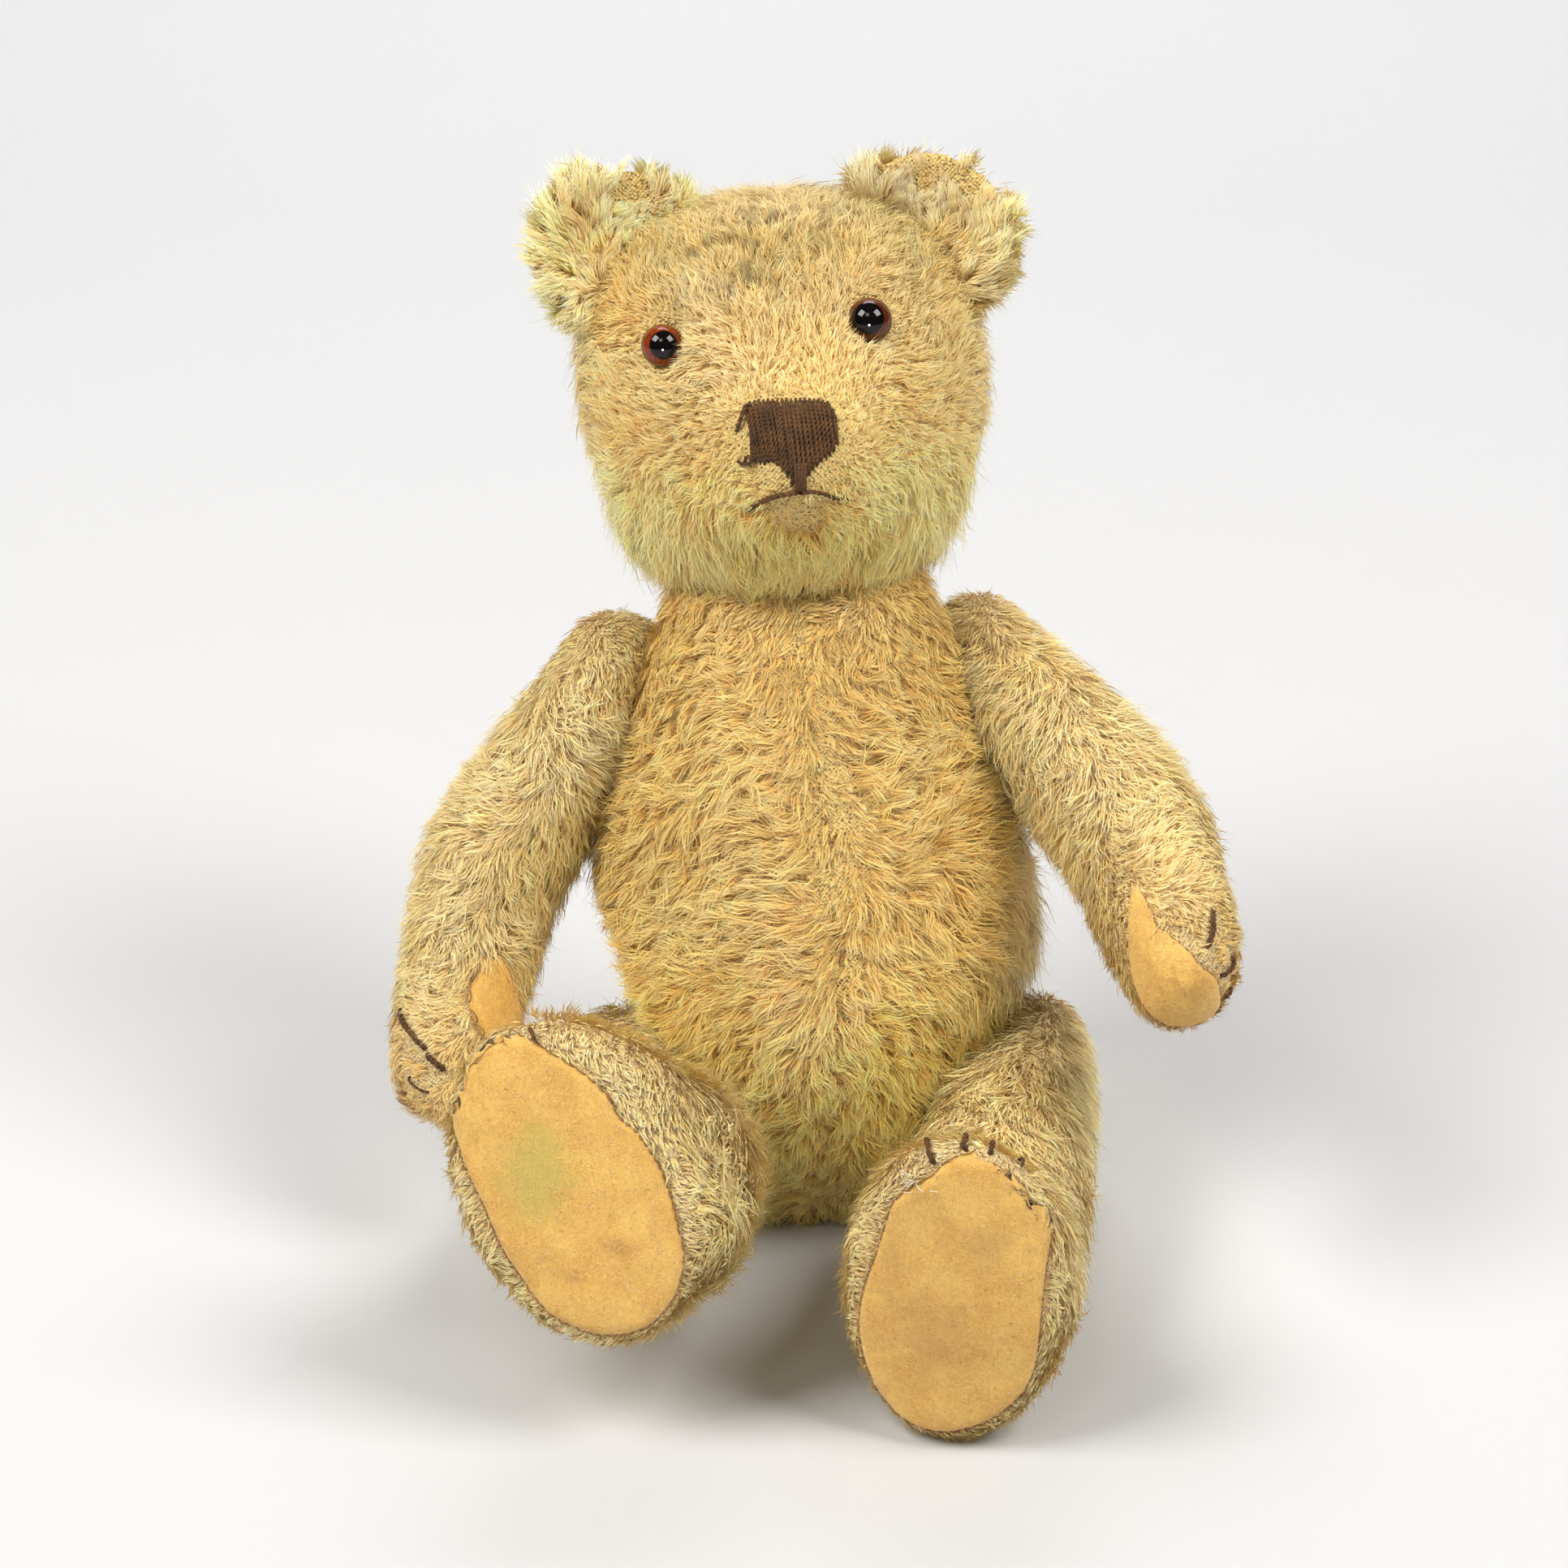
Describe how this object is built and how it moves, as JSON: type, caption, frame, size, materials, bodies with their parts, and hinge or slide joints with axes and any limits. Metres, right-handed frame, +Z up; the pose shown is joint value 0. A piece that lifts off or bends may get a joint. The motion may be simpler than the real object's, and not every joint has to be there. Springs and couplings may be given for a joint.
{
  "type": "jointed teddy bear",
  "caption": "Seated teddy bear of worn pale gold mohair over firm stuffing, with disc-jointed head, arms and legs, felt pads, glass eyes and stitched nose, mouth and claws",
  "frame": {"origin": "middle of the flat spot under the torso that the bear sits on", "axes": "+Z up, -Y the way the bear faces, +X the bear's own left"},
  "size_m": [0.194, 0.2105, 0.2458],
  "materials": {
    "mohair": "short worn mohair pile on woven cloth",
    "felt": "thin worn felt",
    "thread": "twisted embroidery thread",
    "glass": "polished, painted on the back",
    "hardboard": "pressed hardboard",
    "steel": "plain drawn steel"
  },
  "bodies": {
    "arm_left": {"arm_left": "mohair", "paw_claw_left_1": "thread", "paw_claw_left_2": "thread", "paw_claw_left_3": "thread", "paw_claw_left_4": "thread", "paw_pad_left": "felt", "shoulder_left_disc_outer": "hardboard", "shoulder_left_pin": "steel", "shoulder_left_washer_outer": "steel"},
    "arm_right": {"arm_right": "mohair", "paw_claw_right_1": "thread", "paw_claw_right_2": "thread", "paw_claw_right_3": "thread", "paw_pad_right": "felt", "shoulder_right_disc_outer": "hardboard", "shoulder_right_pin": "steel", "shoulder_right_washer_outer": "steel"},
    "head": {"ear_left": "mohair", "ear_right": "mohair", "eye_left": "glass", "eye_right": "glass", "eye_wire_left": "steel", "eye_wire_right": "steel", "head": "mohair", "mouth_stitching": "thread", "neck_disc_outer": "hardboard", "neck_pin": "steel", "neck_washer_outer": "steel", "nose_stitching": "thread"},
    "leg_left": {"foot_claw_left_1": "thread", "foot_claw_left_2": "thread", "foot_claw_left_3": "thread", "foot_claw_left_4": "thread", "foot_pad_left": "felt", "hip_left_disc_outer": "hardboard", "hip_left_pin": "steel", "hip_left_washer_outer": "steel", "leg_left": "mohair"},
    "leg_right": {"foot_claw_right_1": "thread", "foot_pad_right": "felt", "hip_right_disc_outer": "hardboard", "hip_right_pin": "steel", "hip_right_washer_outer": "steel", "leg_right": "mohair"},
    "torso": {"hip_left_disc_inner": "hardboard", "hip_left_washer_inner": "steel", "hip_right_disc_inner": "hardboard", "hip_right_washer_inner": "steel", "neck_disc_inner": "hardboard", "neck_washer_inner": "steel", "shoulder_left_disc_inner": "hardboard", "shoulder_left_washer_inner": "steel", "shoulder_right_disc_inner": "hardboard", "shoulder_right_washer_inner": "steel", "torso": "mohair"}
  },
  "joints": [
    {"name": "neck_turn", "type": "hinge", "parent": "torso", "child": "head", "pos_m": [-0.00656, 0.0375, 0.15025], "axis": [-0.0598, 0.2419, 0.9685], "continuous": true},
    {"name": "shoulder_left_swing", "type": "hinge", "parent": "torso", "child": "arm_left", "pos_m": [0.03332, 0.02939, 0.11946], "axis": [-0.933, -0.25, -0.2588], "range_deg": [-150, 90]},
    {"name": "shoulder_right_swing", "type": "hinge", "parent": "torso", "child": "arm_right", "pos_m": [-0.04361, 0.02939, 0.1161], "axis": [-0.9513, 0.1677, 0.2588], "range_deg": [-135, 120]},
    {"name": "hip_left_swing", "type": "hinge", "parent": "torso", "child": "leg_left", "pos_m": [0.03361, -0.00152, 0.03259], "axis": [-0.9118, 0.2273, 0.342], "range_deg": [-180, 35]},
    {"name": "hip_right_swing", "type": "hinge", "parent": "torso", "child": "leg_right", "pos_m": [-0.03033, -0.00152, 0.0298], "axis": [-0.9251, -0.0614, -0.3746], "range_deg": [-112, 24]}
  ]
}
